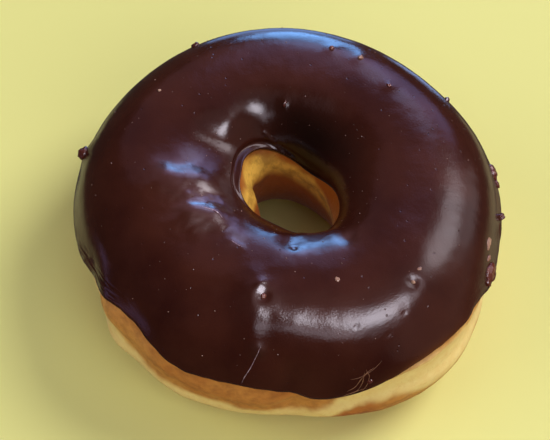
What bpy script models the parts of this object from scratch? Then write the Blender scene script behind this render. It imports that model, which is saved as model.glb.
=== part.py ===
"""A chocolate-iced ring doughnut, at its real size in metres, resting on its flat base.

Two closed bodies make it: the fried dough ring, and the coat of icing that lies over its top and down
both of its sides. Both are tori whose points are moved onto the doughnut's own section, so that each
angle round the ring has its own width, band height and icing edge. The front is towards -Y.
"""

import math
import random

import bpy
import numpy as np

MM = 0.001

# The dough ring. The base plane cuts its rounded underside, which leaves the flat ring it rests on.
WAIST_RADIUS = 46.3 * MM
HOLE_RADIUS = 10.0 * MM
HALF_HEIGHT = 18.0 * MM
BASE_CUT = 0.6 * MM
TOP_ROUNDNESS = 2.4
UNDERSIDE_ROUNDNESS = 2.6
# Waves of the outer outline: lobes round the ring, height, and the angle of one crest in degrees.
OUTLINE_WAVES = (
    (2, 1.25 * MM, -57.0),
    (3, 0.55 * MM, -37.0),
    (4, 0.50 * MM, 42.0),
    (5, 0.80 * MM, 20.0),
    (6, 0.25 * MM, 4.0),
)
# Swells (plus) and dents (minus) of the outline: centre and spread in degrees, then depth.
OUTLINE_SWELLS = (
    (203.0, 6.0, -0.5 * MM),
    (214.0, 7.0, 1.3 * MM),
    (226.0, 6.0, -0.5 * MM),
    (262.0, 8.0, 0.9 * MM),
    (272.0, 4.0, -1.3 * MM),
)
# The hole is longer from back left to front right. Its left wall bulges beside a notch in its back wall.
HOLE_WAVES = (
    (1, 1.4 * MM, 39.0),
    (2, 1.4 * MM, -57.0),
    (3, 0.4 * MM, -29.0),
    (4, 0.45 * MM, 28.0),
)
HOLE_SWELLS = (
    (118.0, 14.0, 0.4 * MM),
    (163.0, 18.0, -0.8 * MM),
)

# The pale band, where the dough floated in the oil: its middle height at angles round the outside.
BAND_HEIGHTS = (
    (0.0, 14.5 * MM),
    (70.0, 13.5 * MM),
    (150.0, 14.0 * MM),
    (222.0, 15.0 * MM),
    (262.0, 11.0 * MM),
    (302.0, 20.0 * MM),
)
BAND_HALF_WIDTH = 3.0 * MM
BAND_GROOVE = 0.5 * MM
CRUST_SWELL = 0.5 * MM
HOLE_BAND_HEIGHT = 21.5 * MM
HOLE_BAND_TILT = 2.0 * MM
HOLE_RIDGE = 0.6 * MM

# The icing. Its gap keeps the two bodies apart, and its edge thins to a rounded lip.
ICING_GAP = 0.3 * MM
ICING_THICKNESS = 1.1 * MM
CREST_EXTRA = 0.4 * MM
# Height of the icing's lower edge at angles round the outside.
ICING_EDGE_HEIGHTS = (
    (0.0, 18.5 * MM),
    (40.0, 16.8 * MM),
    (80.0, 18.6 * MM),
    (115.0, 16.8 * MM),
    (150.0, 18.4 * MM),
    (183.0, 17.0 * MM),
    (222.0, 25.6 * MM),
    (247.0, 21.8 * MM),
    (259.0, 22.3 * MM),
    (278.0, 18.2 * MM),
    (308.0, 25.8 * MM),
    (324.0, 25.2 * MM),
    (346.0, 17.8 * MM),
)
# Height of its edge inside the hole: a middle value and waves.
ICING_HOLE_EDGE = 26.6 * MM
ICING_HOLE_WAVES = (
    (1, 1.9 * MM, -162.0),
    (2, 1.6 * MM, -23.0),
)
# Broad swells of the icing: centre angle, centre share of the way over the ring, spreads, height.
ICING_SWELLS = (
    (-98.0, 0.42, 9.0, 0.22, 0.40 * MM),
    (-62.0, 0.50, 14.0, 0.18, -0.30 * MM),
    (-35.0, 0.38, 16.0, 0.20, 0.35 * MM),
    (158.0, 0.70, 16.0, 0.14, -0.45 * MM),
    (190.0, 0.62, 14.0, 0.16, 0.35 * MM),
    (222.0, 0.55, 12.0, 0.18, -0.25 * MM),
    (60.0, 0.35, 16.0, 0.16, 0.30 * MM),
    (105.0, 0.55, 18.0, 0.20, -0.25 * MM),
)
# Lumps of icing and crumb near the edge: angle, height, then their length round the ring, their height,
# their depth, and how far the middle of each stands off the icing's face.
ICING_LUMPS = (
    (165.5, 26.3 * MM, 3.2 * MM, 2.6 * MM, 2.6 * MM, 1.0 * MM),
    (119.0, 31.0 * MM, 2.4 * MM, 1.8 * MM, 1.8 * MM, 0.4 * MM),
    (9.0, 26.5 * MM, 4.2 * MM, 2.4 * MM, 1.8 * MM, 0.4 * MM),
    (-4.0, 23.5 * MM, 1.8 * MM, 1.8 * MM, 3.0 * MM, 0.5 * MM),
    (-21.5, 20.8 * MM, 5.6 * MM, 3.0 * MM, 2.2 * MM, 0.0 * MM),
)
LUMP_ROUGHNESS = 0.16
LUMP_SEED = 7

COLUMNS = 96
DOUGH_ROWS = 32
ICING_ROWS = 32

# Share of even spacing in the icing's rows, against spacing that crowds towards its two edges.
EVEN_SHARE = 0.35
DOUGH_COLOUR = (0.62, 0.36, 0.14, 1.0)
ICING_COLOUR = (0.045, 0.018, 0.014, 1.0)


def clear_scene():
    """Removes what the file opened with."""
    for obj in list(bpy.data.objects):
        bpy.data.objects.remove(obj, do_unlink=True)


def principled(name, colour, roughness):
    """A plain Principled BSDF material."""
    material = bpy.data.materials.new(name)
    material.use_nodes = True
    shader = material.node_tree.nodes["Principled BSDF"]
    shader.inputs["Base Color"].default_value = colour
    shader.inputs["Roughness"].default_value = roughness
    shader.inputs["Metallic"].default_value = 0.0
    return material


def signed_power(value, power):
    return np.sign(value) * np.abs(value) ** power


def turned(angle, centre_degrees):
    """The signed angle from a centre, the short way round."""
    return (angle - math.radians(centre_degrees) + np.pi) % (2 * np.pi) - np.pi


def hump(angle, centre_degrees, spread_degrees):
    """1 at the centre, falling smoothly to 0 over about two spreads."""
    return np.exp(-((turned(angle, centre_degrees) / math.radians(spread_degrees)) ** 2))


def waves(angle, table):
    """The sum of cosine waves round the ring."""
    return sum(height * np.cos(count * (angle - math.radians(crest))) for count, height, crest in table)


def eased(angle, stations):
    """A closed curve through the stations, level at each and cosine eased between them."""
    degrees = np.degrees(angle) % 360.0
    result = np.zeros_like(degrees)
    for (start, low), (end, high) in zip(stations, stations[1:] + ((360.0, stations[0][1]),)):
        share = np.clip((degrees - start) / (end - start), 0.0, 1.0)
        value = low + (high - low) * (1.0 - np.cos(np.pi * share)) / 2.0
        result = np.where((degrees >= start) & (degrees <= end), value, result)
    return result


def outer_radius(angle):
    radius = WAIST_RADIUS + waves(angle, OUTLINE_WAVES)
    for centre, spread, depth in OUTLINE_SWELLS:
        radius = radius + depth * hump(angle, centre, spread)
    return radius


def hole_radius(angle):
    radius = HOLE_RADIUS + waves(angle, HOLE_WAVES)
    for centre, spread, depth in HOLE_SWELLS:
        radius = radius + depth * hump(angle, centre, spread)
    return radius


def band_relief(angle, round_angle, height):
    """How far the dough stands out at the pale band and the crust beside it, on both sides of the ring."""
    outside = np.clip(np.cos(round_angle), 0.0, 1.0) ** 0.5
    inside = np.clip(-np.cos(round_angle), 0.0, 1.0) ** 0.5
    above = (height - eased(angle, BAND_HEIGHTS)) / BAND_HALF_WIDTH
    groove = -BAND_GROOVE * np.exp(-(above ** 4))
    swell = CRUST_SWELL * (np.exp(-((above - 2.0) ** 2)) + np.exp(-((above + 2.0) ** 2)))
    hole_band = HOLE_BAND_HEIGHT + HOLE_BAND_TILT * np.cos(angle - math.radians(150.0))
    ridge = HOLE_RIDGE * np.exp(-(((height - hole_band) / BAND_HALF_WIDTH) ** 2))
    return outside * (groove + swell) + inside * ridge


def section_point(angle, round_angle, offset):
    """A point of the ring at an angle round it and an angle round its section, stood off by offset."""
    outer = outer_radius(angle)
    inner = hole_radius(angle)
    middle = (outer + inner) / 2.0
    half_width = (outer - inner) / 2.0
    upper = np.sin(round_angle) >= 0.0
    power = 2.0 / np.where(upper, TOP_ROUNDNESS, UNDERSIDE_ROUNDNESS)
    across = signed_power(np.cos(round_angle), power)
    along = signed_power(np.sin(round_angle), power)
    centre_height = HALF_HEIGHT - BASE_CUT
    height = centre_height + HALF_HEIGHT * along
    out_across = signed_power(np.cos(round_angle), 2.0 - power) / half_width
    out_along = signed_power(np.sin(round_angle), 2.0 - power) / HALF_HEIGHT
    length = np.hypot(out_across, out_along)
    stand = offset + band_relief(angle, round_angle, height)
    radius = middle + half_width * across + stand * out_across / length
    height = height + stand * out_along / length
    return np.stack([radius * np.cos(angle), radius * np.sin(angle), np.maximum(height, 0.0)], axis=-1)


def round_angle_at(height):
    """The section angle above the waist at which the dough reaches a height."""
    along = (height - (HALF_HEIGHT - BASE_CUT)) / HALF_HEIGHT
    upper = along >= 0.0
    roundness = np.where(upper, TOP_ROUNDNESS, UNDERSIDE_ROUNDNESS)
    return np.arcsin(signed_power(along, roundness / 2.0))


def torus(name, rows, material):
    """A torus primitive, with each point's angle round the ring and round its section."""
    bpy.ops.mesh.primitive_torus_add(
        major_segments=COLUMNS,
        minor_segments=rows,
        major_radius=WAIST_RADIUS,
        minor_radius=HALF_HEIGHT,
    )
    obj = bpy.context.object
    obj.name = name
    obj.data.name = name
    obj.data.materials.append(material)
    points = np.array([vertex.co for vertex in obj.data.vertices])
    angle = np.arctan2(points[:, 1], points[:, 0])
    reach = np.hypot(points[:, 0], points[:, 1]) - WAIST_RADIUS
    return obj, angle, np.arctan2(points[:, 2], reach)


def move_points(obj, points):
    """Puts a mesh's points where they are told, and shades it smooth."""
    obj.data.vertices.foreach_set("co", points.astype(np.float32).ravel())
    obj.data.update()
    obj.data.shade_smooth()


def dough_ring():
    """The bare dough, a torus moved onto the ring's own section."""
    obj, angle, round_angle = torus("dough_ring", DOUGH_ROWS, principled("fried dough", DOUGH_COLOUR, 0.55))
    move_points(obj, section_point(angle, round_angle, 0.0))
    return obj


def swells(angle, share):
    """The broad rises and dips of the icing."""
    total = np.zeros_like(angle)
    for centre, middle, spread, reach, height in ICING_SWELLS:
        total = total + height * hump(angle, centre, spread) * np.exp(-(((share - middle) / reach) ** 2))
    return total


def icing_round_angle(angle, share):
    """The section angle at a share of the way from the icing's outer edge, over the top, to its hole edge."""
    start = round_angle_at(eased(angle, ICING_EDGE_HEIGHTS))
    end = np.pi - round_angle_at(ICING_HOLE_EDGE + waves(angle, ICING_HOLE_WAVES))
    return start + (end - start) * share


def icing_thickness(angle, share):
    """Thickest over the crest, and rounded off to nothing at both edges."""
    lip = np.clip(np.minimum(share, 1.0 - share) / 0.035, 0.0, 1.0)
    rounded = np.sqrt(1.0 - (1.0 - lip) ** 2)
    crest = CREST_EXTRA * np.sin(np.pi * share) ** 2
    return rounded * (ICING_THICKNESS + crest + swells(angle, share))


def chocolate_icing():
    """The icing: a torus whose section is flattened into a coat, the upper half outside, the lower half inside."""
    obj, angle, turn = torus("chocolate_icing", ICING_ROWS, principled("chocolate icing", ICING_COLOUR, 0.28))
    outside = turn >= 0.0
    along = np.abs(turn) / np.pi
    share = EVEN_SHARE * along + (1.0 - EVEN_SHARE) * (1.0 - np.cos(np.pi * along)) / 2.0
    offset = ICING_GAP + np.where(outside, icing_thickness(angle, share), 0.0)
    move_points(obj, section_point(angle, icing_round_angle(angle, share), offset))
    return obj


def icing_lump(index, chance, collection, degrees, height, length, tall, deep, stand):
    """A rough lump set into the icing's face at its edge."""
    angle = np.array(math.radians(degrees))
    seat = section_point(angle, round_angle_at(np.array(height)), ICING_GAP + ICING_THICKNESS + stand)
    bpy.ops.mesh.primitive_ico_sphere_add(subdivisions=2, radius=0.5)
    obj = bpy.context.object
    obj.name = f"lump_{index}"
    for vertex in obj.data.vertices:
        vertex.co *= 1.0 + LUMP_ROUGHNESS * chance.uniform(-1.0, 1.0)
        vertex.co.x *= deep
        vertex.co.y *= length
        vertex.co.z *= tall
    obj.rotation_euler = (0.0, 0.0, math.radians(degrees))
    obj.location = seat
    for holder in list(obj.users_collection):
        holder.objects.unlink(obj)
    collection.objects.link(obj)


def fuse_lumps(icing):
    """Joins every lump to the icing with one Boolean union."""
    collection = bpy.data.collections.new("lumps")
    bpy.context.scene.collection.children.link(collection)
    chance = random.Random(LUMP_SEED)
    for index, lump in enumerate(ICING_LUMPS):
        icing_lump(index, chance, collection, *lump)
    union = icing.modifiers.new("lumps", "BOOLEAN")
    union.operation = "UNION"
    union.operand_type = "COLLECTION"
    union.collection = collection
    union.solver = "EXACT"
    graph = bpy.context.evaluated_depsgraph_get()
    fused = bpy.data.meshes.new_from_object(icing.evaluated_get(graph))
    icing.modifiers.remove(union)
    icing.data = fused
    icing.data.shade_smooth()
    for obj in list(collection.objects):
        bpy.data.objects.remove(obj, do_unlink=True)
    bpy.data.collections.remove(collection)


def gather(objects):
    """Puts the bodies in the doughnut's collection, under an empty that centres them over the origin."""
    collection = bpy.data.collections.new("ring_doughnut")
    bpy.context.scene.collection.children.link(collection)
    points = np.array([vertex.co for obj in objects for vertex in obj.data.vertices])
    middle = (points.min(axis=0) + points.max(axis=0)) / 2.0
    holder = bpy.data.objects.new("doughnut", None)
    holder.location = (-middle[0], -middle[1], 0.0)
    collection.objects.link(holder)
    for obj in objects:
        for old in list(obj.users_collection):
            old.objects.unlink(obj)
        collection.objects.link(obj)
        obj.parent = holder


def main():
    clear_scene()
    dough = dough_ring()
    icing = chocolate_icing()
    fuse_lumps(icing)
    gather([dough, icing])


main()
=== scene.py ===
import math
import bpy
import numpy as np
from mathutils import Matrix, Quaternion, Vector


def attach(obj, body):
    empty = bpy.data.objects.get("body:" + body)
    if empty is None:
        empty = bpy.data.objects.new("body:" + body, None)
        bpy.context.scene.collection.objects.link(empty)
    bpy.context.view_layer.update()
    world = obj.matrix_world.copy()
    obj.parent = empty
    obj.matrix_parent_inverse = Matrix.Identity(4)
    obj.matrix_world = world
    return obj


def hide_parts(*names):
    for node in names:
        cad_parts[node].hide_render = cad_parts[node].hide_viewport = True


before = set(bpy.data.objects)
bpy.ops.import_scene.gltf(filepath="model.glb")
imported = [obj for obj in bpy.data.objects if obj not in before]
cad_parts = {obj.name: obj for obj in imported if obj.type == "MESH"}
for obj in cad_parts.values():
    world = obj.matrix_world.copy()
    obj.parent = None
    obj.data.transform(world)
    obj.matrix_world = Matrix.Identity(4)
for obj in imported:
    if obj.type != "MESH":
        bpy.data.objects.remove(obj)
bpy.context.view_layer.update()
mm = 0.001


def inMillimetres(*stations):
    # stations of angle and height, with the heights given in millimetres
    return tuple((angle, height * mm) for angle, height in stations)


# The ring's own axis from the frame's origin, which lies at the middle of the whole part's box.
shift = np.array([-0.059, -1.258, 0.0]) * mm


# Angles run anticlockwise seen from above, from +X; the photograph looks from the front, 270 degrees.
# The section angle is 0 at the outside, 90 on top, 180 on the hole's wall and 270 underneath.
doughSizes = {
    "waistRadius": 46.3 * mm,
    "holeRadius": 10.0 * mm,
    "halfHeight": 18.0 * mm,
    "baseCut": 0.6 * mm,
    "topRoundness": 2.4,
    "undersideRoundness": 2.6,
    # lobes round the ring, height, angle of one crest
    "outlineWaves": (
        (2, 1.25 * mm, -57), (3, 0.55 * mm, -37), (4, 0.50 * mm, 42), (5, 0.80 * mm, 20),
        (6, 0.25 * mm, 4),
    ),
    # centre, spread, depth
    "outlineSwells": (
        (203, 6, -0.5 * mm), (214, 7, 1.3 * mm), (226, 6, -0.5 * mm), (262, 8, 0.9 * mm),
        (272, 4, -1.3 * mm),
    ),
    "holeWaves": ((1, 1.4 * mm, 39), (2, 1.4 * mm, -57), (3, 0.4 * mm, -29), (4, 0.45 * mm, 28)),
    "holeSwells": ((118, 14, 0.4 * mm), (163, 18, -0.8 * mm)),
    # section angles between which the outline's swells die away under the icing
    "swellFade": (15, 42),
    # angle, middle height of the low groove that the pale band lies in
    "bandHeights": inMillimetres(
        (0, 14.5), (70, 13.5), (150, 14.0), (222, 15.0), (262, 11.0), (302, 20.0),
    ),
    "bandHalfWidth": 3.0 * mm,
    "bandGroove": 0.5 * mm,
    "crustSwell": 0.5 * mm,
    "holeBandHeight": 21.5 * mm,
    "holeBandTilt": 2.0 * mm,
    "holeBandCrest": 150,
    "holeRidge": 0.6 * mm,
    "columns": 500,
    "rows": 196,
    # how much closer the rows lie at the waist and on the hole's wall than elsewhere
    "rowCrowding": 0.32,
}

icingSizes = {
    "gap": 0.3 * mm,
    "thickness": 1.1 * mm,
    "crestExtra": 0.4 * mm,
    # angle, height of the lower edge on the outside
    "edgeHeights": inMillimetres(
        (0, 18.5), (40, 16.8), (80, 18.6), (115, 16.8), (150, 18.4), (183, 17.0), (222, 25.6),
        (247, 21.8), (259, 22.3), (278, 18.2), (308, 25.8), (324, 25.2), (346, 17.8),
    ),
    "edgeWander": 0.22 * mm,
    "edgeWanderCell": 3.5 * mm,
    "edgeWanderSeed": 11,
    "holeEdge": 26.6 * mm,
    "holeEdgeWaves": ((1, 1.9 * mm, -162), (2, 1.6 * mm, -23)),
    # centre angle, centre share of the way over, spread of each, height
    "swells": (
        (-98, 0.42, 9, 0.22, 0.40 * mm), (-62, 0.50, 14, 0.18, -0.30 * mm),
        (-35, 0.38, 16, 0.20, 0.35 * mm), (158, 0.70, 16, 0.14, -0.45 * mm),
        (190, 0.62, 14, 0.16, 0.35 * mm), (222, 0.55, 12, 0.18, -0.25 * mm),
        (60, 0.35, 16, 0.16, 0.30 * mm), (105, 0.55, 18, 0.20, -0.25 * mm),
        (84, 0.76, 28, 0.18, 1.20 * mm),
    ),
    "lipShare": 0.035,
    "columns": 540,
    "outerRows": 168,
    "innerRows": 14,
    # how much closer the rows lie at both edges than elsewhere
    "edgeCrowding": 0.45,
}


def fullTurn(count):
    # equal steps of angle round a circle
    return np.linspace(0, 2 * np.pi, count, endpoint=False)


def onCircle(angle):
    return np.stack([np.cos(angle), np.sin(angle), np.zeros_like(angle)], axis=-1)


def unit(vectors):
    return vectors / np.linalg.norm(vectors, axis=-1, keepdims=True)


def signedPower(value, power):
    return np.sign(value) * np.abs(value) ** power


def turned(angle, centre):
    # signed angle from a centre given in degrees, the short way round
    return (angle - math.radians(centre) + np.pi) % (2 * np.pi) - np.pi


def hump(angle, centre, spread):
    # exp(-(t / spread)^2), which is 1 at the centre
    return np.exp(-((turned(angle, centre) / math.radians(spread)) ** 2))


def waves(angle, table):
    # sum of height * cos(count * (angle - crest))
    return sum(height * np.cos(count * (angle - math.radians(crest))) for count, height, crest in table)


def eased(angle, stations):
    # a closed curve through the stations, (1 - cos) / 2 of the way from each to the next
    degrees = np.degrees(angle) % 360
    result = np.zeros_like(degrees)
    for (start, low), (end, high) in zip(stations, stations[1:] + ((360, stations[0][1]),)):
        share = np.clip((degrees - start) / (end - start), 0, 1)
        inside = (degrees >= start) & (degrees <= end)
        result = np.where(inside, low + (high - low) * (1 - np.cos(np.pi * share)) / 2, result)
    return result


def smoothStep(low, high, value):
    # 3t^2 - 2t^3 between the two limits
    t = np.clip((value - low) / (high - low), 0, 1)
    return t * t * (3 - 2 * t)


latticeSize = 32
latticeTables = {}


def latticeNoise(points, cell, seed):
    # value noise: random numbers at a lattice's corners, blended by 3t^2 - 2t^3 between the eight nearest
    if seed not in latticeTables:
        shape = (latticeSize, latticeSize, latticeSize)
        latticeTables[seed] = np.random.default_rng(seed).uniform(-1, 1, shape)
    table = latticeTables[seed]
    low = np.floor(points / cell).astype(int)
    t = points / cell - low
    t = t * t * (3 - 2 * t)
    total = np.zeros(points.shape[:-1])
    for corner in range(8):
        step = np.array([corner & 1, corner >> 1 & 1, corner >> 2 & 1])
        share = np.where(step == 1, t, 1 - t).prod(axis=-1)
        at = (low + step) % latticeSize
        total += share * table[at[..., 0], at[..., 1], at[..., 2]]
    return total


def layeredNoise(points, cell, layers, seed):
    # each layer has half the cell and half the height of the one before
    return sum(latticeNoise(points, cell / 2 ** n, seed + n) / 2 ** n for n in range(layers))


def swellSum(angle, table):
    # sum of depth * exp(-(t / spread)^2) round each centre
    return sum(depth * hump(angle, centre, spread) for centre, spread, depth in table)


def outerRadius(angle, sectionAngle):
    radius = doughSizes["waistRadius"] + waves(angle, doughSizes["outlineWaves"])
    low, high = np.radians(doughSizes["swellFade"])
    fade = 1 - smoothStep(low, high, np.abs(turned(sectionAngle, 0)))
    return radius + swellSum(angle, doughSizes["outlineSwells"]) * fade


def holeRadius(angle):
    radius = doughSizes["holeRadius"] + waves(angle, doughSizes["holeWaves"])
    return radius + swellSum(angle, doughSizes["holeSwells"])


def holeBand(angle):
    tilt = doughSizes["holeBandTilt"] * np.cos(angle - math.radians(doughSizes["holeBandCrest"]))
    return doughSizes["holeBandHeight"] + tilt


def bandRelief(angle, sectionAngle, height):
    # a groove of exp(-t^4) on the band, swells of exp(-(t +- 2)^2) beside it, and a ridge round the hole
    outside = np.clip(np.cos(sectionAngle), 0, 1) ** 0.5
    inside = np.clip(-np.cos(sectionAngle), 0, 1) ** 0.5
    above = (height - eased(angle, doughSizes["bandHeights"])) / doughSizes["bandHalfWidth"]
    groove = -doughSizes["bandGroove"] * np.exp(-(above ** 4))
    swell = doughSizes["crustSwell"] * (np.exp(-((above - 2) ** 2)) + np.exp(-((above + 2) ** 2)))
    ridge = np.exp(-(((height - holeBand(angle)) / doughSizes["bandHalfWidth"]) ** 2))
    return outside * (groove + swell) + inside * doughSizes["holeRidge"] * ridge


def ringPoint(angle, sectionAngle, stand):
    # a superellipse section between hole and waist, carried round the ring, moved out along its own normal
    outer = outerRadius(angle, sectionAngle)
    inner = holeRadius(angle)
    middle = (outer + inner) / 2
    halfWidth = (outer - inner) / 2
    halfHeight = doughSizes["halfHeight"]
    upper = np.sin(sectionAngle) >= 0
    power = 2 / np.where(upper, doughSizes["topRoundness"], doughSizes["undersideRoundness"])
    across = signedPower(np.cos(sectionAngle), power)
    along = signedPower(np.sin(sectionAngle), power)
    height = halfHeight - doughSizes["baseCut"] + halfHeight * along
    outAcross = signedPower(np.cos(sectionAngle), 2 - power) / halfWidth
    outAlong = signedPower(np.sin(sectionAngle), 2 - power) / halfHeight
    length = np.hypot(outAcross, outAlong)
    stand = stand + bandRelief(angle, sectionAngle, height)
    radius = middle + halfWidth * across + stand * outAcross / length
    height = np.maximum(height + stand * outAlong / length, 0)
    return np.stack([radius * np.cos(angle), radius * np.sin(angle), height], axis=-1)


def sectionAngleAt(height):
    # the section angle above the waist at which the dough reaches a height
    along = (height - (doughSizes["halfHeight"] - doughSizes["baseCut"])) / doughSizes["halfHeight"]
    roundness = np.where(along >= 0, doughSizes["topRoundness"], doughSizes["undersideRoundness"])
    return np.arcsin(signedPower(along, roundness / 2))


def icingEdge(angle):
    # the eased heights with a small wander, so that the edge is nowhere quite smooth
    circle = doughSizes["waistRadius"] * onCircle(angle)
    wander = layeredNoise(circle, icingSizes["edgeWanderCell"], 2, icingSizes["edgeWanderSeed"])
    return eased(angle, icingSizes["edgeHeights"]) + icingSizes["edgeWander"] * wander


def icingHoleEdge(angle):
    return icingSizes["holeEdge"] + waves(angle, icingSizes["holeEdgeWaves"])


def icingSectionAngle(angle, share):
    # from the outer edge, share 0, over the top to the edge in the hole, share 1
    start = sectionAngleAt(icingEdge(angle))
    end = np.pi - sectionAngleAt(icingHoleEdge(angle))
    return start + (end - start) * share


def icingBody(angle, share):
    # thickest over the crest by sin(pi * share)^2, rounded off by a quarter circle at both edges
    lip = np.clip(np.minimum(share, 1 - share) / icingSizes["lipShare"], 0, 1)
    swell = sum(
        height * hump(angle, centre, spread) * np.exp(-(((share - middle) / reach) ** 2))
        for centre, middle, spread, reach, height in icingSizes["swells"]
    )
    body = icingSizes["thickness"] + icingSizes["crestExtra"] * np.sin(np.pi * share) ** 2 + swell
    return np.sqrt(1 - (1 - lip) ** 2) * body


def newMesh(name, points, quads, triangles, attributes):
    # puts the arrays into a mesh, shades it smooth and adds one number per point for each attribute
    mesh = bpy.data.meshes.new(name)
    counts = np.concatenate([np.full(len(quads), 4), np.full(len(triangles), 3)])
    corners = np.concatenate([quads.ravel(), triangles.ravel()]).astype(np.int32)
    mesh.vertices.add(len(points))
    mesh.vertices.foreach_set("co", points.astype(np.float32).ravel())
    mesh.loops.add(len(corners))
    mesh.loops.foreach_set("vertex_index", corners)
    mesh.polygons.add(len(counts))
    mesh.polygons.foreach_set("loop_start", (np.cumsum(counts) - counts).astype(np.int32))
    mesh.update(calc_edges=True)
    mesh.validate()
    mesh.shade_smooth()
    for key, values in attributes.items():
        layer = mesh.attributes.new(key, "FLOAT", "POINT")
        layer.data.foreach_set("value", np.ascontiguousarray(values, dtype=np.float32).ravel())
    piece = bpy.data.objects.new(name, mesh)
    bpy.context.scene.collection.objects.link(piece)
    return piece


noTriangles = np.zeros((0, 3), dtype=int)


def gridQuads(number):
    # number[column, row], closed both ways: each quad joins a point to the next column and the next row
    right = np.roll(number, -1, axis=0)
    return np.stack([number, right, np.roll(right, -1, axis=1), np.roll(number, -1, axis=1)], axis=-1)


def closedGrid(name, points, attributes):
    # a skin of points[column, row] that closes on itself both ways
    columns, rows = points.shape[:2]
    quads = gridQuads(np.arange(columns * rows).reshape(columns, rows))
    return newMesh(name, points.reshape(-1, 3), quads.reshape(-1, 4), noTriangles, attributes)


def tubesAndBlobs(name, groups, shades=()):
    # groups are skins[column, row] with a point at either end: fans at the ends, quads between the rings
    points, quads, triangles, sizes = [], [], [], []
    for ring, first, last in groups:
        columns, rows = ring.shape[:2]
        number = sum(sizes) + np.arange(columns * rows).reshape(columns, rows)
        right = np.roll(number, -1, axis=0)
        quads.append(gridQuads(number)[:, :-1].reshape(-1, 4))
        start = np.full(columns, sum(sizes) + columns * rows)
        triangles.append(np.stack([start, right[:, 0], number[:, 0]], axis=-1))
        triangles.append(np.stack([start + 1, number[:, -1], right[:, -1]], axis=-1))
        points += [ring.reshape(-1, 3), first[None], last[None]]
        sizes.append(columns * rows + 2)
    attributes = {"shade": np.repeat(shades, sizes)} if shades else {}
    parts = (np.concatenate(part) for part in (points, quads, triangles))
    return newMesh(name, *parts, attributes)


def linear(red, green, blue):
    # an sRGB colour from 0 to 255, made linear: a power of 2.4 above a short straight part
    channels = np.array([red, green, blue]) / 255
    curved = np.where(channels > 0.04045, ((channels + 0.055) / 1.055) ** 2.4, channels / 12.92)
    return tuple(curved.tolist()) + (1.0,)


def node(tree, kind, inputs=None, **settings):
    made = tree.nodes.new(kind)
    for key, value in settings.items():
        setattr(made, key, value)
    for key, value in (inputs or {}).items():
        made.inputs[key].default_value = value
    return made


def newMaterial(name):
    material = bpy.data.materials.new(name)
    material.use_nodes = True
    tree = material.node_tree
    return material, tree, tree.nodes["Principled BSDF"]


def attribute(tree, name):
    return node(tree, "ShaderNodeAttribute", attribute_name=name).outputs["Fac"]


def objectNoise(tree, cell, detail, roughness=0.5, stretch=(1, 1, 1)):
    # noise with cells of a size in metres, drawn out where stretch is above 1
    place = node(tree, "ShaderNodeTexCoord")
    mapping = node(tree, "ShaderNodeMapping", {"Scale": tuple(1 / value for value in stretch)})
    noise = node(tree, "ShaderNodeTexNoise", {"Scale": 1 / cell, "Detail": detail, "Roughness": roughness})
    tree.links.new(place.outputs["Object"], mapping.inputs["Vector"])
    tree.links.new(mapping.outputs["Vector"], noise.inputs["Vector"])
    return noise.outputs["Fac"]


def mixColours(tree, share, first, second, blend="MIX"):
    mix = node(tree, "ShaderNodeMix", data_type="RGBA", blend_type=blend)
    # the colour inputs of this node share their names with its number inputs
    sockets = (mix.inputs[0], mix.inputs[6], mix.inputs[7])
    for socket, value in zip(sockets, (share, first, second)):
        if isinstance(value, (float, int, tuple)):
            socket.default_value = value
        else:
            tree.links.new(value, socket)
    return mix.outputs[2]


def remap(tree, value, low, high, newLow, newHigh):
    limits = {"From Min": low, "From Max": high, "To Min": newLow, "To Max": newHigh}
    mapped = node(tree, "ShaderNodeMapRange", limits)
    tree.links.new(value, mapped.inputs["Value"])
    return mapped.outputs["Result"]


def combine(tree, operation, first, second):
    made = node(tree, "ShaderNodeMath", operation=operation)
    for socket, value in zip(made.inputs, (first, second)):
        if isinstance(value, (float, int)):
            socket.default_value = value
        else:
            tree.links.new(value, socket)
    return made.outputs["Value"]


def bump(tree, height, depth, normal=None):
    # a relief of 0 to 1 made depth metres deep
    made = node(tree, "ShaderNodeBump", {"Strength": 1.0, "Distance": depth})
    tree.links.new(height, made.inputs["Height"])
    if normal:
        tree.links.new(normal, made.inputs["Normal"])
    return made.outputs["Normal"]


print("frame loaded")


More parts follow.
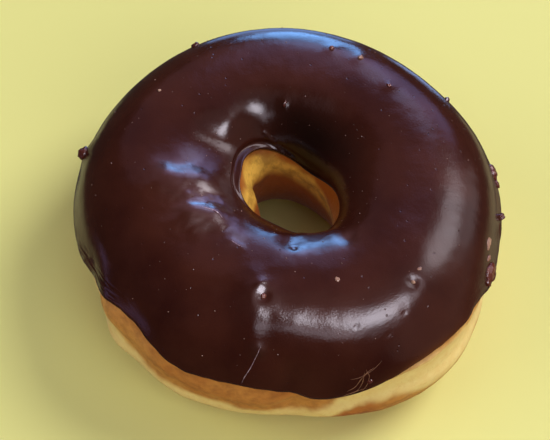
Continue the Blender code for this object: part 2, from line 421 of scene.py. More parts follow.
# The dough ring: a fine surface in the place of the plain one.
doughDetail = {
    "lumpCell": 9 * mm,
    "lumpHeight": 0.20 * mm,
    "grainCell": 1.8 * mm,
    "grainHeight": 0.05 * mm,
    "seed": 21,
    # how much of the lumps is left under the icing, and how far either side of its edge they fade
    "buriedShare": 0.2,
    "buriedFade": 1.0 * mm,
    "wanderCell": 5 * mm,
    "wanderSeed": 40,
    # how much the wander moves the pale bands' edges, outside and in the hole, and changes the bake
    "edgeWander": (0.7, 1.1),
    "bakeWander": 0.22,
    # the bake over the band: least, gain upwards and over how many edge widths, then angle and spread of a
    # paler place and its change
    "upperBake": (0.55, 0.35, 5, 216, 22, -0.3),
    "holeBake": 0.8,
    # angle, height of the pale band's upper and lower edge outside
    "bandTop": inMillimetres(
        (0, 17.5), (40, 16.5), (80, 17.6), (120, 16.6), (160, 17.5), (200, 18.5), (213, 18.5),
        (222, 13.0), (240, 11.2), (258, 10.6), (266, 9.8), (271, 9.0), (276, 10.5), (281, 13.0),
        (285, 17.0), (288, 19.2), (294, 22.0), (301, 24.0), (312, 24.6), (325, 22.0), (345, 18.5),
    ),
    "bandBottom": inMillimetres(
        (0, 11.0), (50, 10.0), (100, 11.0), (150, 10.0), (195, 9.0), (215, 5.5), (240, 4.0), (262, 4.0),
        (271, 4.5), (276, 5.5), (281, 8.5), (286, 12.0), (289, 14.8), (292, 15.3), (297, 15.8),
        (303, 14.2), (312, 13.5), (330, 12.5),
    ),
    "edgeSoftness": 1.5 * mm,
    # how far the skin has turned inwards, from 0 to 1, where the hole's colours, painted darker as the
    # shade inside the hole, start and are full
    "holeTurn": (0.2, 0.8),
    # the pale band inside the hole: its middle height, how far it tilts and towards which angle
    "holePale": (21.0 * mm, 4.5 * mm, 180),
    "holePaleHalf": 3.3 * mm,
    # how far under its middle the wall starts to turn deep brown, painted shade down the hole over its
    # brown crust, and where it has
    "holeDeep": (0.8 * mm, 4.2 * mm),
    # angle, how brown the crust is under the band
    "lowerBake": (
        (0, 0.5), (100, 0.7), (200, 0.6), (275, 0.55), (291, 1.0), (300, 0.40), (310, 0.0), (340, 0.2),
    ),
    # the fold under the band's upper edge on the right: angle, spread, height, width, how far under
    "fold": (303, 11, 0.55 * mm, 0.7 * mm, 0.4 * mm),
    # the flap on the hole's left wall: angles where it starts, is full, ebbs and ends; stand, middle, reach
    "flap": (149, 156, 168, 216, 1.7 * mm, 14.5 * mm, 7.0 * mm),
    # the dent right of the flap and the ball behind it: angle, height, spread, depth
    "flapDent": (143, 18.0 * mm, 2.4 * mm, -0.9 * mm),
    "flapBall": (124, 20.0 * mm, 2.6 * mm, 1.0 * mm),
}


def bumpAt(points, centre, spread, height):
    # height * exp(-(d / spread)^2), with d the distance to a centre point
    return height * np.exp(-(((points - centre) ** 2).sum(axis=-1)) / spread ** 2)


def wallPoint(degrees, height):
    # the point of the hole's plain wall at an angle and a height
    angle = np.array(math.radians(degrees))
    return ringPoint(angle, np.pi - sectionAngleAt(np.array(height)), 0.0)


def doughRelief(angle, sectionAngle, base):
    # lumps and grain of noise; outside, a fold of exp(-t^2) - 0.6 exp(-(t - 1.5)^2); in the hole, a flap of
    # exp(-t^2) between its angles, with a dent and a ball
    detail = doughDetail
    height = base[..., 2]
    outside = np.cos(sectionAngle) >= 0
    fade = detail["buriedFade"]
    edge = np.where(outside, icingEdge(angle), icingHoleEdge(angle))
    under = smoothStep(-fade, fade, height - edge)
    relief = detail["lumpHeight"] * layeredNoise(base, detail["lumpCell"], 3, detail["seed"])
    relief += detail["grainHeight"] * layeredNoise(base, detail["grainCell"], 2, detail["seed"] + 5)
    relief = relief * (1 - (1 - detail["buriedShare"]) * under)
    centre, spread, stand, width, drop = detail["fold"]
    above = (height - eased(angle, detail["bandTop"]) + drop) / width
    fold = np.exp(-(above ** 2)) - 0.6 * np.exp(-((above - 1.5) ** 2))
    fold = stand * hump(angle, centre, spread) * fold
    start, full, ebb, end, stand, middle, reach = detail["flap"]
    degrees = np.degrees(angle)
    flap = smoothStep(start, full, degrees) * (1 - smoothStep(ebb, end, degrees))
    flap = stand * flap * np.exp(-(((height - middle) / reach) ** 2))
    for degree, at, spread, depth in (detail["flapDent"], detail["flapBall"]):
        flap = flap + bumpAt(base, wallPoint(degree, at), spread, depth)
    return relief + np.where(outside, fold, flap)


def doughRing():
    size = doughSizes
    detail = doughDetail
    turn = fullTurn(size["rows"])
    turn = turn - size["rowCrowding"] * np.sin(2 * turn)
    angle, sectionAngle = np.meshgrid(fullTurn(size["columns"]), turn, indexing="ij")
    base = ringPoint(angle, sectionAngle, 0.0)
    points = ringPoint(angle, sectionAngle, doughRelief(angle, sectionAngle, base))
    # crust is 0 on the pale bands and 1 where it is browned; bake says how dark the brown is
    height = base[..., 2]
    wander = layeredNoise(base, detail["wanderCell"], 4, detail["wanderSeed"])
    outside = np.cos(sectionAngle) >= 0
    soft = detail["edgeSoftness"]
    overTop = (height - eased(angle, detail["bandTop"])) / soft
    underBottom = (eased(angle, detail["bandBottom"]) - height) / soft
    middle, tilt, crest = detail["holePale"]
    holeMiddle = middle + tilt * np.cos(angle - math.radians(crest))
    holeAway = (np.abs(height - holeMiddle) - detail["holePaleHalf"]) / soft
    away = np.where(outside, np.maximum(overTop, underBottom), holeAway)
    outer, inner = detail["edgeWander"]
    crust = smoothStep(-1.0, 1.0, away + np.where(outside, outer, inner) * wander)
    least, gain, reach, centre, spread, change = detail["upperBake"]
    upper = least + gain * smoothStep(0, reach, overTop) + change * hump(angle, centre, spread)
    bake = np.where(overTop > underBottom, upper, eased(angle, detail["lowerBake"]))
    bake = np.where(outside, bake, detail["holeBake"]) + detail["bakeWander"] * wander
    # where the hole's colours take over: painted shade inside the hole
    holeShade = smoothStep(*detail["holeTurn"], -np.cos(sectionAngle))
    # painted shade: the wall darkens deep down the hole, on top of its real brown crust
    deep = holeShade * smoothStep(*detail["holeDeep"], holeMiddle - height)
    attributes = {"crust": crust, "bake": bake, "holeShade": holeShade, "deep": deep}
    return closedGrid("doughRing", points + shift, attributes)


doughLook = {
    "pale": linear(238, 212, 148),
    "gold": linear(222, 166, 88),
    "brown": linear(186, 112, 50),
    "dark": linear(132, 68, 28),
    # the hole's colours: the dough's own, painted darker and more saturated as the shade inside the hole
    "shadedHoleGold": linear(226, 176, 76),
    "shadedHoleBrown": linear(154, 82, 22),
    "shadedHoleOlive": linear(168, 122, 46),
    "mottleCell": 2.2 * mm,
    "patchCell": 3.0 * mm,
    "grainCell": 0.7 * mm,
    "grainDepth": 0.09 * mm,
    # from and to in the noise, then how much of the colour there: dark and gold by the mottle, olive by the
    # patches, brown by the grain
    "darkMottle": (0.42, 0.70, 0, 0.50),
    "goldMottle": (0.35, 0.75, 0, 0.35),
    "olivePatches": (0.45, 0.62, 0, 0.80),
    "brownGrain": (0.58, 0.78, 0, 0.30),
    # from and to in the grain, then the roughness there
    "roughness": (0.3, 0.7, 0.38, 0.58),
    "specular": 0.4,
}


def doughMaterial():
    look = doughLook
    material, tree, shader = newMaterial("friedDough")
    crust, bake, holeShade, deep = (attribute(tree, key) for key in ("crust", "bake", "holeShade", "deep"))
    mottle = objectNoise(tree, look["mottleCell"], 6, 0.62)
    grain = objectNoise(tree, look["grainCell"], 4, 0.6)
    patch = objectNoise(tree, look["patchCell"], 4, 0.6)
    brown = mixColours(tree, bake, look["gold"], look["brown"])
    brown = mixColours(tree, remap(tree, mottle, *look["darkMottle"]), brown, look["dark"])
    pale = mixColours(tree, remap(tree, mottle, *look["goldMottle"]), look["pale"], look["gold"])
    outer = mixColours(tree, crust, pale, brown)
    # inside the hole the colours are painted shade, darkest where the wall goes deep
    gold = mixColours(tree, remap(tree, patch, *look["olivePatches"]), look["shadedHoleGold"], look["shadedHoleOlive"])
    inner = mixColours(tree, combine(tree, "MAXIMUM", crust, deep), gold, look["shadedHoleBrown"])
    colour = mixColours(tree, holeShade, outer, inner)
    colour = mixColours(tree, remap(tree, grain, *look["brownGrain"]), colour, look["brown"])
    tree.links.new(colour, shader.inputs["Base Color"])
    tree.links.new(remap(tree, grain, *look["roughness"]), shader.inputs["Roughness"])
    shader.inputs["Specular IOR Level"].default_value = look["specular"]
    tree.links.new(bump(tree, grain, look["grainDepth"]), shader.inputs["Normal"])
    return material


def dress(piece, material, nodeName):
    piece.data.materials.append(material)
    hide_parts(nodeName)
    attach(piece, "root")


dough = doughRing()
dress(dough, doughMaterial(), "dough_ring")
print("dough ring made")


# The coat of icing: undulations, dimples round the crumbs, a bead round the hole, wrinkles at the sides.
icingDetail = {
    "waveCell": 8 * mm,
    "waveHeight": 0.06 * mm,
    "peelCell": 1.7 * mm,
    "peelHeight": 0.018 * mm,
    "seed": 60,
    # the bead round the hole: middle angle, spread, how far in from the edge, width, height
    "bead": (148, 46, 0.022, 0.010, 0.85 * mm),
    "beadGroove": (148, 52, 0.050, 0.014, -0.60 * mm),
    # wrinkles along the edge: middle angle, spread, share they reach to, height, width
    "wrinkles": ((195, 20, 0.13, 0.16 * mm, 1.1 * mm), (0, 17, 0.15, 0.28 * mm, 1.6 * mm)),
    # how far the wrinkles' noise runs per radian round the ring and per share of the way over it
    "wrinkleRun": (9.2 * mm, 70 * mm),
    # the share over which all relief dies away at both edges
    "edgeFade": 0.02,
    # dimples and bumps: angle, share, spread and height in mm
    "dimples": (
        (261.3, 0.446, 1.5, -0.60), (261.3, 0.446, 2.8, 0.44), (259.0, 0.492, 1.2, 0.38),
        (262.0, 0.212, 1.3, 0.42), (260.6, 0.190, 0.8, 0.12), (312.7, 0.372, 1.3, -0.30),
        (314.5, 0.36, 4.5, 0.12), (270.5, 0.395, 4.4, 0.25), (304.7, 0.280, 0.35, -0.10),
        (298.0, 0.236, 0.40, -0.12), (290.5, 0.345, 0.40, -0.12), (131.0, 0.800, 5.0, 0.64),
        (149.5, 0.800, 5.5, -0.80), (165.3, 0.150, 2.6, 0.60), (74.7, 0.446, 1.8, 0.25),
        (63.3, 0.439, 1.9, 0.25), (46.7, 0.486, 1.5, 0.22), (272.5, 0.742, 2.6, -0.48),
        (273.5, 0.700, 0.7, -0.18), (262.0, 0.76, 1.6, 0.18), (307.0, 0.712, 2.2, -0.36),
        (236, 0.66, 2.2, 0.16), (172, 0.62, 3.4, -0.16), (190.5, 0.805, 3.4, 0.32),
        (330, 0.40, 4.2, -0.14), (136, 0.80, 2.2, 0.2), (93.3, 0.745, 1.0, 0.2),
    ),
    # folds that catch the light: width on the left and on the right of the way they run, height, then the
    # angle and share of the points they run through
    "folds": (
        (3.3 * mm, 5.0 * mm, 1.00 * mm, ((186.2, 0.635), (187.4, 0.680), (187.0, 0.735))),
        (3.1 * mm, 4.6 * mm, 1.38 * mm, ((210.6, 0.616), (212.8, 0.636), (215.6, 0.660))),
        (0.8 * mm, 1.6 * mm, 0.20 * mm, ((238.0, 0.619), (243.3, 0.619))),
        (3.0 * mm, 2.4 * mm, 0.42 * mm, ((259.6, 0.268), (258.3, 0.367), (256.5, 0.448), (254.8, 0.522))),
        (1.4 * mm, 2.6 * mm, 0.50 * mm, ((284.0, 0.870), (294.0, 0.872), (303.0, 0.860))),
        (0.5 * mm, 0.5 * mm, 0.22 * mm, ((110.7, 0.904), (106.0, 0.938), (100.0, 0.959))),
    ),
    # where the coat is still wet: angle, share, spread in mm, how wet
    "wetSpots": (
        (276, 0.72, 3.0, 0.9), (304, 0.73, 3.0, 0.9), (291, 0.82, 3.0, 0.9), (184.0, 0.69, 6.0, 0.7),
        (207, 0.66, 4.0, 1.0), (214, 0.71, 8.0, 0.55), (138, 0.80, 3.5, 0.1), (262, 0.212, 1.5, 0.8),
        (240, 0.62, 2.0, 0.5), (260, 0.45, 4.0, 0.4),
    ),
    # how much the folds and the wet places waver
    "foldWaver": 0.12,
    "foldCell": 2.4 * mm,
    "wetWaver": 0.5,
    "wetCell": 1.5 * mm,
    # the thin edge on the front right: angle, spread, share over which it fades
    "thinEdge": (306, 12, 0.02),
    # the right side has dried duller than the rest: angle, spread, shares between which it ends
    "dullSide": (-24, 36, 0.45, 0.75),
    # painted shade on the icing's slope behind the hole, darkest there: angle, spread, shares between which
    # it starts
    "shadedSlope": (68, 52, 0.60, 0.82),
}


def placesUnderCoat(stations):
    # where angles in degrees and shares lie on the plain surface that the coat is built from
    degree, share = np.array(stations).T
    angle = np.radians(degree)
    return ringPoint(angle, icingSectionAngle(angle, share), icingSizes["gap"])


def distanceToPath(points, path):
    # the least distance to the straight lines between the path's points, and how far it lies to the path's
    # left, from 0 to 1, by the sine of the angle between the line and the way to the point
    nearest = np.full(points.shape[:-1], np.inf)
    leftness = np.zeros(points.shape[:-1])
    for start, end in zip(path, path[1:]):
        line = end - start
        along = np.clip(((points - start) @ line) / (line @ line), 0, 1)
        offset = points - start - along[..., None] * line
        distance = np.maximum(np.linalg.norm(offset, axis=-1), 1e-9)
        sine = (line[0] * offset[..., 1] - line[1] * offset[..., 0]) / (np.linalg.norm(line) * distance)
        leftness = np.where(distance < nearest, (1 + np.clip(sine, -1, 1)) / 2, leftness)
        nearest = np.minimum(nearest, distance)
    return nearest, leftness


dimplePlaces = placesUnderCoat([dimple[:2] for dimple in icingDetail["dimples"]])
foldPlaces = [placesUnderCoat(fold[3]) for fold in icingDetail["folds"]]
wetPlaces = placesUnderCoat([spot[:2] for spot in icingDetail["wetSpots"]])


def coatRelief(angle, share, base):
    # noise, dimples of exp(-d^2) round points and folds along paths, a bead and its groove, wrinkles
    detail = icingDetail
    relief = detail["waveHeight"] * layeredNoise(base, detail["waveCell"], 2, detail["seed"])
    relief += detail["peelHeight"] * layeredNoise(base, detail["peelCell"], 2, detail["seed"] + 4)
    for centre, dimple in zip(dimplePlaces, detail["dimples"]):
        relief += bumpAt(base, centre, dimple[2] * mm, dimple[3] * mm)
    waver = 1 + detail["foldWaver"] * layeredNoise(base, detail["foldCell"], 2, detail["seed"] + 14)
    for path, fold in zip(foldPlaces, detail["folds"]):
        leftWidth, rightWidth, height = fold[:3]
        distance, leftness = distanceToPath(base, path)
        width = rightWidth + (leftWidth - rightWidth) * leftness
        relief += height * np.exp(-((distance * waver / width) ** 2))
    for middle, spread, inward, width, height in (detail["bead"], detail["beadGroove"]):
        relief += height * hump(angle, middle, spread) * np.exp(-(((1 - share - inward) / width) ** 2))
    roundRun, overRun = detail["wrinkleRun"]
    for middle, spread, reach, height, width in detail["wrinkles"]:
        # ridges of 1 - 2|noise|, drawn out round the ring
        along = [turned(angle, middle) * roundRun, share * overRun, np.zeros_like(share)]
        along = np.stack(along, axis=-1)
        ridges = 1 - 2 * np.abs(layeredNoise(along, width, 2, detail["seed"] + 9))
        fade = 1 - smoothStep(0.3 * reach, reach, share)
        relief += height * ridges * hump(angle, middle, spread) * fade
    return relief * smoothStep(0, detail["edgeFade"], np.minimum(share, 1 - share))


def coatPoint(angle, share, face=1.0, lift=0.0):
    # face is 1 on the visible side and 0 on the side against the dough
    sectionAngle = icingSectionAngle(angle, share)
    base = ringPoint(angle, sectionAngle, icingSizes["gap"])
    stand = icingSizes["gap"] + face * (icingBody(angle, share) + coatRelief(angle, share, base)) + lift
    return ringPoint(angle, sectionAngle, stand) + shift


def chocolateCoat():
    size = icingSizes
    detail = icingDetail
    turn = fullTurn(size["columns"])
    outerShare = np.linspace(0, 1, size["outerRows"], endpoint=False)
    innerShare = np.linspace(1, 0, size["innerRows"], endpoint=False)
    # rows crowd towards both edges, where the lip is rounded
    crowding = size["edgeCrowding"]
    outerShare = (1 - crowding) * outerShare + crowding * (1 - np.cos(np.pi * outerShare)) / 2
    angle, share = np.meshgrid(turn, np.concatenate([outerShare, innerShare]), indexing="ij")
    face = np.concatenate([np.ones(size["outerRows"]), np.zeros(size["innerRows"])])
    centre, spread, fade = detail["thinEdge"]
    thin = np.exp(-share / fade) * hump(angle, centre, spread)
    centre, spread, low, high = detail["dullSide"]
    matte = hump(angle, centre, spread) * (1 - smoothStep(low, high, share))
    # painted shade on the slope behind the hole
    centre, spread, low, high = detail["shadedSlope"]
    deepTone = hump(angle, centre, spread) * smoothStep(low, high, share)
    base = ringPoint(angle, icingSectionAngle(angle, share), size["gap"])
    spots = zip(wetPlaces, detail["wetSpots"])
    wet = sum(bumpAt(base, centre, spot[2] * mm, spot[3]) for centre, spot in spots)
    waver = layeredNoise(base, detail["wetCell"], 2, detail["seed"] + 20)
    wet = np.clip(wet * (1 + detail["wetWaver"] * waver), 0, 1)
    attributes = {"thin": thin, "matte": matte, "wet": wet, "deepTone": deepTone}
    return closedGrid("chocolateCoat", coatPoint(angle, share, face), attributes)


icingLook = {
    "dark": linear(47, 17, 13),
    "light": linear(65, 30, 22),
    # painted shade for the slope behind the hole
    "deep": linear(22, 7, 4),
    "thin": linear(140, 84, 48),
    "cloudCell": 14 * mm,
    # from and to in the clouds, where the icing turns from dark to light and from smooth to rough
    "cloudRange": (0.3, 0.7),
    "roughness": (0.12, 0.17),
    "matteRoughness": 0.08,
    "thinShare": 0.8,
    "ior": 1.32,
    "wetRoughness": 0.28,
    "grainCell": 0.45 * mm,
    "grainDepth": 0.030 * mm,
    "pitCell": 2.6 * mm,
    # radii of a pit's floor and rim, as shares of a cell
    "pitRadii": (0.04, 0.10),
    "pitDepth": 0.06 * mm,
}


def icingMaterial():
    look = icingLook
    material, tree, shader = newMaterial("chocolateIcing")
    cloud = objectNoise(tree, look["cloudCell"], 4)
    grain = objectNoise(tree, look["grainCell"], 3, 0.6)
    colour = mixColours(tree, remap(tree, cloud, *look["cloudRange"], 0, 1), look["dark"], look["light"])
    # the slope behind the hole darkened as painted shade
    colour = mixColours(tree, attribute(tree, "deepTone"), colour, look["deep"])
    thin = remap(tree, attribute(tree, "thin"), 0, 1, 0, look["thinShare"])
    tree.links.new(mixColours(tree, thin, colour, look["thin"]), shader.inputs["Base Color"])
    smooth = remap(tree, cloud, *look["cloudRange"], *look["roughness"])
    rough = remap(tree, attribute(tree, "matte"), 0, 1, 0, look["matteRoughness"])
    tree.links.new(combine(tree, "ADD", smooth, rough), shader.inputs["Roughness"])
    shader.inputs["IOR"].default_value = look["ior"]
    tree.links.new(attribute(tree, "wet"), shader.inputs["Coat Weight"])
    shader.inputs["Coat Roughness"].default_value = look["wetRoughness"]
    # pits: round holes where a cell's own point is near
    place = node(tree, "ShaderNodeTexCoord")
    cells = node(tree, "ShaderNodeTexVoronoi", {"Scale": 1 / look["pitCell"], "Randomness": 1.0})
    tree.links.new(place.outputs["Object"], cells.inputs["Vector"])
    pits = remap(tree, cells.outputs["Distance"], *look["pitRadii"], 0, 1)
    normal = bump(tree, grain, look["grainDepth"])
    tree.links.new(bump(tree, pits, look["pitDepth"], normal), shader.inputs["Normal"])
    return material


coat = chocolateCoat()
dress(coat, icingMaterial(), "chocolate_icing")
print("chocolate coat made")


# Crumbs of icing and sugar that stick in the coat or on its edge.
crumbs = {
    # angle, share; length round the ring, thickness, width and stand in mm; shade from 0 dark to 1 tan
    "places": (
        (165.3, 0.150, 1.6, 1.3, 1.5, 0.50, 0.22),
        (119.0, 0.290, 1.1, 0.8, 0.8, 0.25, 0.10),
        (35.30, 0.230, 0.6, 0.8, 0.5, 0.25, 0.10),
        (12.00, 0.087, 2.1, 0.8, 1.5, 0.30, 0.40),
        (8.50, 0.070, 0.9, 0.7, 1.0, 0.20, 0.30),
        (357.3, 0.077, 0.9, 1.1, 0.8, 0.40, 0.30),
        (343.5, 0.190, 1.6, 0.4, 0.8, 0.10, 0.85),
        (340.0, 0.150, 1.1, 0.4, 0.6, 0.10, 0.70),
        (337.6, 0.085, 2.5, 1.1, 1.9, 0.30, 0.42),
        (334.5, 0.060, 1.2, 0.8, 1.1, 0.20, 0.30),
        (261.3, 0.446, 0.60, 0.45, 0.7, 0.15, 0.55),
        (312.7, 0.372, 0.45, 0.4, 0.45, 0.15, 1.0),
        (74.7, 0.446, 0.65, 0.6, 0.65, 0.25, 0.55),
        (63.3, 0.439, 0.65, 0.6, 0.65, 0.25, 0.75),
        (46.7, 0.486, 0.6, 0.4, 0.5, 0.15, 0.4),
        (142.7, 0.486, 0.4, 0.35, 0.4, 0.1, 1.0),
        (290.0, 0.554, 0.5, 0.3, 0.6, 0.1, 0.9),
        (317.3, 0.398, 0.5, 0.25, 0.4, 0.05, 0.8),
        (93.3, 0.745, 0.3, 0.25, 0.8, 0.1, 0.15),
        (290.7, 0.070, 0.7, 0.4, 0.5, 0.1, 0.2),
    ),
    "columns": 28,
    "rows": 18,
    # how deep they sit, as a share of their thickness
    "sunk": 0.4,
    "lumpiness": 0.22,
    "lumpCell": 0.5,
    "seed": 5,
}


def coatFrame(degree, share):
    # the point of the coat there, and unit vectors round the ring, across it and outwards
    step = 0.002
    angle = np.radians(degree)
    share = np.asarray(share, dtype=float)
    point = coatPoint(angle, share)
    around = coatPoint(angle + step, share) - coatPoint(angle - step, share)
    across = coatPoint(angle, share + step) - coatPoint(angle, share - step)
    around = unit(around)
    outward = unit(np.cross(around, across))
    return point, around, np.cross(outward, around), outward


def blob(centre, axes, halfSizes, size, seed):
    # a sphere: cos and sin of two angles, its radius varied by noise, drawn out along the three axes
    rise = np.linspace(-np.pi / 2, np.pi / 2, size["rows"] + 2)
    turn, rise = np.meshgrid(fullTurn(size["columns"]), rise, indexing="ij")
    ball = np.stack([np.cos(rise) * np.cos(turn), np.cos(rise) * np.sin(turn), np.sin(rise)], axis=-1)
    lumps = layeredNoise(ball + 7.3 * seed, size["lumpCell"], 2, seed)
    ball = ball * (1 + size["lumpiness"] * lumps)[..., None]
    skin = centre + (ball * np.array(halfSizes)) @ np.array(axes)
    return skin[:, 1:-1], skin[0, 0], skin[0, -1]


def icingCrumbs():
    groups, shades = [], []
    size = crumbs
    for number, (degree, share, *sizes, shade) in enumerate(size["places"]):
        length, tall, wide, stand = (value * mm for value in sizes)
        point, around, across, outward = coatFrame(degree, share)
        centre = point + (stand - size["sunk"] * tall) * outward
        halfSizes = (length, wide, tall)
        groups.append(blob(centre, (around, across, outward), halfSizes, size, size["seed"] + number))
        shades.append(shade)
    return tubesAndBlobs("icingCrumbs", groups, shades)


crumbLook = {
    "dark": linear(58, 20, 14),
    "red": linear(104, 46, 34),
    "tan": linear(188, 148, 130),
    "roughness": 0.22,
    "patchCell": 0.6 * mm,
    "patchDepth": 0.05 * mm,
    # from and to in the patches, then how dark they are
    "patches": (0.4, 0.7, 0, 0.5),
}


def crumbMaterial():
    look = crumbLook
    material, tree, shader = newMaterial("icingCrumb")
    shade = attribute(tree, "shade")
    patch = objectNoise(tree, look["patchCell"], 3)
    colour = mixColours(tree, remap(tree, shade, 0, 0.5, 0, 1), look["dark"], look["red"])
    colour = mixColours(tree, remap(tree, shade, 0.5, 1, 0, 1), colour, look["tan"])
    colour = mixColours(tree, remap(tree, patch, *look["patches"]), colour, look["dark"])
    tree.links.new(colour, shader.inputs["Base Color"])
    shader.inputs["Roughness"].default_value = look["roughness"]
    tree.links.new(bump(tree, patch, look["patchDepth"]), shader.inputs["Normal"])
    return material


dress(icingCrumbs(), crumbMaterial(), "chocolate_icing")
print("crumbs made")


# Tiny pale specks all over the coat, bubbles a fraction of a millimetre wide, coloured pale as painted
# glints on them.
specks = {
    "count": 170,
    "smallest": 0.07 * mm,
    "largest": 0.17 * mm,
    "shares": (0.08, 0.92),
    # width across, height and stand as shares of the radius
    "widths": (0.7, 1.2),
    "height": 0.8,
    "stand": 0.3,
    # how many shapes they take in turn
    "kinds": 5,
    "shades": (0.3, 1),
    "lumpiness": 0.15,
    "lumpCell": 0.7,
    "roughness": 0.25,
    "columns": 8,
    "rows": 4,
    "seed": 8,
    # the specks' pale colour is a painted glint
    "colour": linear(150, 118, 112),
}


def glintSpecks():
    groups, shades = [], []
    size = specks
    draw = np.random.default_rng(size["seed"])
    degrees = draw.uniform(0, 360, size["count"])
    places = draw.uniform(*size["shares"], size["count"])
    sizes = draw.uniform(0, 1, size["count"]) ** 2
    radii = size["smallest"] + (size["largest"] - size["smallest"]) * sizes
    frames = coatFrame(degrees, places)
    for number, radius in enumerate(radii):
        point, around, across, outward = (part[number] for part in frames)
        centre = point + size["stand"] * radius * outward
        halfSizes = (radius, radius * draw.uniform(*size["widths"]), radius * size["height"])
        groups.append(blob(centre, (around, across, outward), halfSizes, size, number % size["kinds"]))
        shades.append(draw.uniform(*size["shades"]))
    return tubesAndBlobs("glintSpecks", groups, shades)


def speckMaterial():
    material, tree, shader = newMaterial("glintSpeck")
    # each speck mixed from the icing's colour towards a painted glint
    colour = mixColours(tree, attribute(tree, "shade"), icingLook["light"], specks["colour"])
    tree.links.new(colour, shader.inputs["Base Color"])
    shader.inputs["Roughness"].default_value = specks["roughness"]
    return material


dress(glintSpecks(), speckMaterial(), "chocolate_icing")
print("specks made")


# Raised threads of icing, where drips and a drag mark have set, coloured pale as a painted highlight along
# them, and fine pulled strands at the front edge.
threads = {
    # radius, then stations of angle and share
    "places": (
        (0.11 * mm, ((210.5, 0.648), (212.6, 0.657), (215.6, 0.668), (219.0, 0.673), (223.5, 0.669))),
        (0.09 * mm, ((237.5, 0.620), (240.5, 0.617), (244.0, 0.619))),
        (0.06 * mm, ((262.7, 0.235), (261.8, 0.19), (260.6, 0.13), (259.0, 0.07), (258.3, 0.03))),
    ),
    "strandPlaces": (
        (0.09 * mm, ((285.0, 0.055), (287.0, 0.07), (288.5, 0.10), (290.6, 0.125), (292.5, 0.13))),
        (0.08 * mm, ((286.5, 0.030), (288.0, 0.055), (289.0, 0.085), (289.8, 0.13))),
        (0.07 * mm, ((286.0, 0.115), (288.5, 0.112), (291.5, 0.120), (294.5, 0.14))),
        (0.07 * mm, ((288.5, 0.025), (290.0, 0.06), (290.8, 0.10), (290.2, 0.14))),
        (0.08 * mm, ((283.0, 0.020), (285.0, 0.035), (287.5, 0.045), (290.0, 0.04))),
    ),
    "columns": 8,
    "steps": 40,
    # how many steps the path is averaged over, and how far the threads stand out as a share of the radius
    "smoothing": 7,
    "stand": 0.2,
}

# two colours, noise cell, from and to in the noise, roughness; the icing threads' pale lilac is a painted
# highlight along them
threadLooks = {
    "pulledStrand": (linear(150, 104, 78), linear(96, 58, 44), 0.8 * mm, 0.3, 0.7, 0.4),
    # a painted highlight: pale lilac along the thread's crest
    "highlightThread": (linear(206, 180, 200), linear(120, 84, 100), 0.7 * mm, 0.35, 0.65, 0.25),
}


def tube(radius, stations):
    # a circle carried along the eased path over the coat, thinned at both ends by sin(pi * t)^0.6
    steps = threads["steps"]
    at = np.linspace(0, len(stations) - 1, steps + 2)
    degree, share = (np.interp(at, np.arange(len(stations)), values) for values in zip(*stations))
    count = threads["smoothing"]
    inner = slice(count // 2, -(count // 2))
    degree[inner] = np.convolve(degree, np.ones(count) / count, "valid")
    share[inner] = np.convolve(share, np.ones(count) / count, "valid")
    angle = np.radians(degree)
    path = coatPoint(angle, share)
    outward = unit(path - coatPoint(angle, share, 1.0, -0.5 * mm))
    side = np.cross(unit(np.gradient(path, axis=0)), outward)
    turn = fullTurn(threads["columns"])
    width = radius * np.sin(np.pi * np.linspace(0, 1, steps + 2)) ** 0.6
    circle = np.cos(turn)[:, None, None] * side + np.sin(turn)[:, None, None] * outward
    skin = path + threads["stand"] * radius * outward + circle * width[:, None]
    return skin[:, 1:-1], path[0], path[-1]


def threadMaterial(name):
    first, second, cell, low, high, roughness = threadLooks[name]
    material, tree, shader = newMaterial(name)
    patch = objectNoise(tree, cell, 3)
    colour = mixColours(tree, remap(tree, patch, low, high, 0, 1), first, second)
    tree.links.new(colour, shader.inputs["Base Color"])
    shader.inputs["Roughness"].default_value = roughness
    return material


for name, places, finish in (("highlightThreads", "places", "highlightThread"),
                             ("pulledStrands", "strandPlaces", "pulledStrand")):
    groups = [tube(radius, stations) for radius, stations in threads[places]]
    dress(tubesAndBlobs(name, groups), threadMaterial(finish), "chocolate_icing")
print("threads and strands made")


stageSizes = {
    "floorRadius": 3.0,
    "floorSides": 96,
    "floorColour": (0.82, 0.81, 0.31, 1.0),
    "floorRoughness": 0.5,
    "floorSheen": 0.15,
    "worldColour": linear(255, 240, 225),
    "worldStrength": 0.06,
    # the height that the lights look at
    "lightAim": 20 * mm,
}

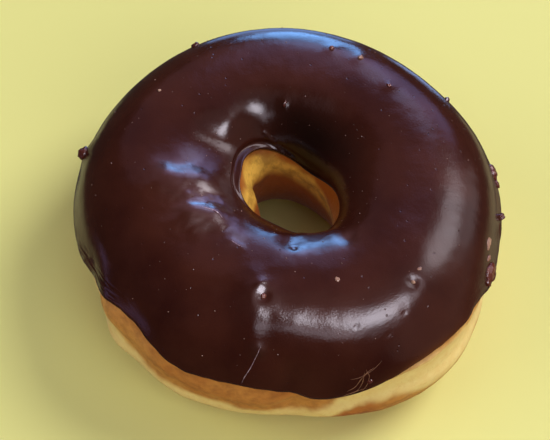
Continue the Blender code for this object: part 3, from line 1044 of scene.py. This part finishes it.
# Each light is an oval panel: where it stands, clockwise from behind and above the horizon in degrees; how
# far it is in metres; how wide and high it looks and its turn in degrees; its radiance; its colour.
# A gloss light shows in the shine of the icing; a soft light falls on everything else.
glossLights = {
    "keyGloss": (136, 67, 1.2, 31, 18, 21, 22.0, (0.90, 0.88, 1.0)),
    "keyTail": (171, 50, 1.2, 20, 14, 0, 4.0, (0.94, 0.86, 1.0)),
    "keyHalo": (138, 64, 1.3, 58, 30, 30, 1.5, (1.0, 0.86, 0.94)),
    "sideGloss": (56, 44, 1.2, 20, 30, -20, 8.0, (1.0, 0.92, 0.98)),
    "sideTail": (64, 20, 1.2, 22, 30, 0, 1.5, (1.0, 0.86, 0.92)),
    "rimBlue": (2.5, 3, 1.2, 19, 23, 0, 9.4, (0.19, 0.46, 1.0)),
    "rimCore": (2.5, -3, 1.2, 16, 8, 0, 1.8, (0.24, 0.50, 1.0)),
    "deepBlue": (-1, -20, 1.2, 20, 26, 0, 1.6, (0.26, 0.48, 1.0)),
    "highBlue": (17, 36, 1.2, 12, 17, 0, 2.8, (0.50, 0.60, 1.0)),
    "blueGlow": (9, 34, 1.3, 30, 30, 0, 1.2, (0.60, 0.50, 1.0)),
    "wideGlow": (8, 42, 1.4, 84, 52, 0, 0.42, (1.0, 0.52, 0.66)),
    "topGloss": (90, 78, 1.3, 44, 44, 0, 0.55, (1.0, 0.70, 0.72)),
    "lowViolet": (25, 22, 1.3, 24, 22, 0, 2.0, (0.38, 0.44, 1.0)),
    "rimHaze": (5, 21, 1.3, 18, 14, 0, 4.2, (0.27, 0.48, 1.0)),
    "edgeBlue": (20, -24, 1.2, 8, 16, 0, 2.0, (0.34, 0.54, 1.0)),
    "rightGlow": (100, 20, 1.4, 100, 54, 0, 0.3, (1.0, 0.84, 0.80)),
    "warmRight": (55, -32, 1.3, 50, 20, 0, 0.5, (1.0, 0.90, 0.45)),
    "warmLeft": (-48, -36, 1.3, 40, 20, 0, 0.5, (0.90, 0.85, 0.35)),
    "sideViolet": (-95, -14, 1.3, 34, 20, 0, 0.7, (0.60, 0.45, 1.0)),
}
softLights = {
    "sideSoft": (66, 46, 3.0, 34, 30, 0, 9.2, (1.0, 0.98, 0.93)),
    "frontSoft": (150, 34, 3.0, 56, 44, 0, 1.95, (1.0, 0.97, 0.95)),
    "leftSoft": (-100, 34, 3.0, 60, 50, 0, 1.2, (1.0, 0.97, 1.0)),
    "overheadSoft": (0, 88, 3.0, 70, 70, 0, 0.26, (1.0, 0.97, 1.0)),
}

cameraSizes = {
    "elevation": 55,
    "distance": 0.430,
    "lens": 126.4,
    # the aim lies this far to the left of the ring's middle and below it, across the view
    "aimLeft": 2.98 * mm,
    "aimDown": 0.27 * mm,
    "middleHeight": 18.5 * mm,
}


def floorDisc():
    # one flat disc just under the part: points at radius * (cos, sin)
    rim = stageSizes["floorRadius"] * onCircle(fullTurn(stageSizes["floorSides"]))
    mesh = bpy.data.meshes.new("floor")
    mesh.from_pydata(rim, [], [list(range(len(rim)))])
    floor = bpy.data.objects.new("floor", mesh)
    bpy.context.scene.collection.objects.link(floor)
    material, _, shader = newMaterial("paleFloor")
    shader.inputs["Base Color"].default_value = stageSizes["floorColour"]
    shader.inputs["Roughness"].default_value = stageSizes["floorRoughness"]
    shader.inputs["Specular IOR Level"].default_value = stageSizes["floorSheen"]
    mesh.materials.append(material)
    # the icing's shine shows the panels right down to its edge, and no floor
    floor.visible_glossy = False
    floor.visible_shadow = False


def areaLight(name, values, kind):
    # a panel's power is pi * its area * its radiance; its width is twice its distance * tan(half its angle)
    side, rise, away, wide, high, turn, glow, colour = values
    side, rise = math.radians(side), math.radians(rise)
    towards = Vector((math.sin(side) * math.cos(rise), math.cos(side) * math.cos(rise), math.sin(rise)))
    width, height = (2 * away * math.tan(math.radians(angle) / 2) for angle in (wide, high))
    data = bpy.data.lights.new(name, "AREA")
    data.shape = "ELLIPSE"
    data.size = width
    data.size_y = height
    data.energy = glow * math.pi * width * height * math.pi / 4
    data.color = colour
    lamp = bpy.data.objects.new(name, data)
    lamp.location = Vector((0, 0, stageSizes["lightAim"])) + towards * away
    twist = Quaternion(towards, math.radians(turn))
    lamp.rotation_euler = (twist @ towards.to_track_quat("Z", "Y")).to_euler()
    lamp.visible_camera = False
    lamp.visible_diffuse = kind == "soft"
    lamp.visible_glossy = kind == "gloss"
    bpy.context.scene.collection.objects.link(lamp)


def photoCamera():
    size = cameraSizes
    data = bpy.data.cameras.new("photoCamera")
    data.lens = size["lens"]
    data.clip_start = 0.01
    camera = bpy.data.objects.new("photoCamera", data)
    lean = math.radians(size["elevation"])
    right = Vector((1, 0, 0))
    up = Vector((0, math.sin(lean), math.cos(lean)))
    back = Vector((0, -math.cos(lean), math.sin(lean)))
    middle = Vector((shift[0], shift[1], size["middleHeight"]))
    camera.location = middle + back * size["distance"]
    aim = middle - right * size["aimLeft"] - up * size["aimDown"]
    camera.rotation_euler = (camera.location - aim).to_track_quat("Z", "Y").to_euler()
    bpy.context.scene.collection.objects.link(camera)
    bpy.context.scene.camera = camera


def dimWorld():
    made = bpy.data.worlds.new("dimRoom")
    made.use_nodes = True
    background = made.node_tree.nodes["Background"]
    background.inputs["Color"].default_value = stageSizes["worldColour"]
    background.inputs["Strength"].default_value = stageSizes["worldStrength"]
    bpy.context.scene.world = made


floorDisc()
for kind, panels in (("gloss", glossLights), ("soft", softLights)):
    for name, values in panels.items():
        areaLight(name, values, kind)
photoCamera()
dimWorld()
bpy.context.scene.view_settings.view_transform = "Standard"
print("stage, lights and camera made")
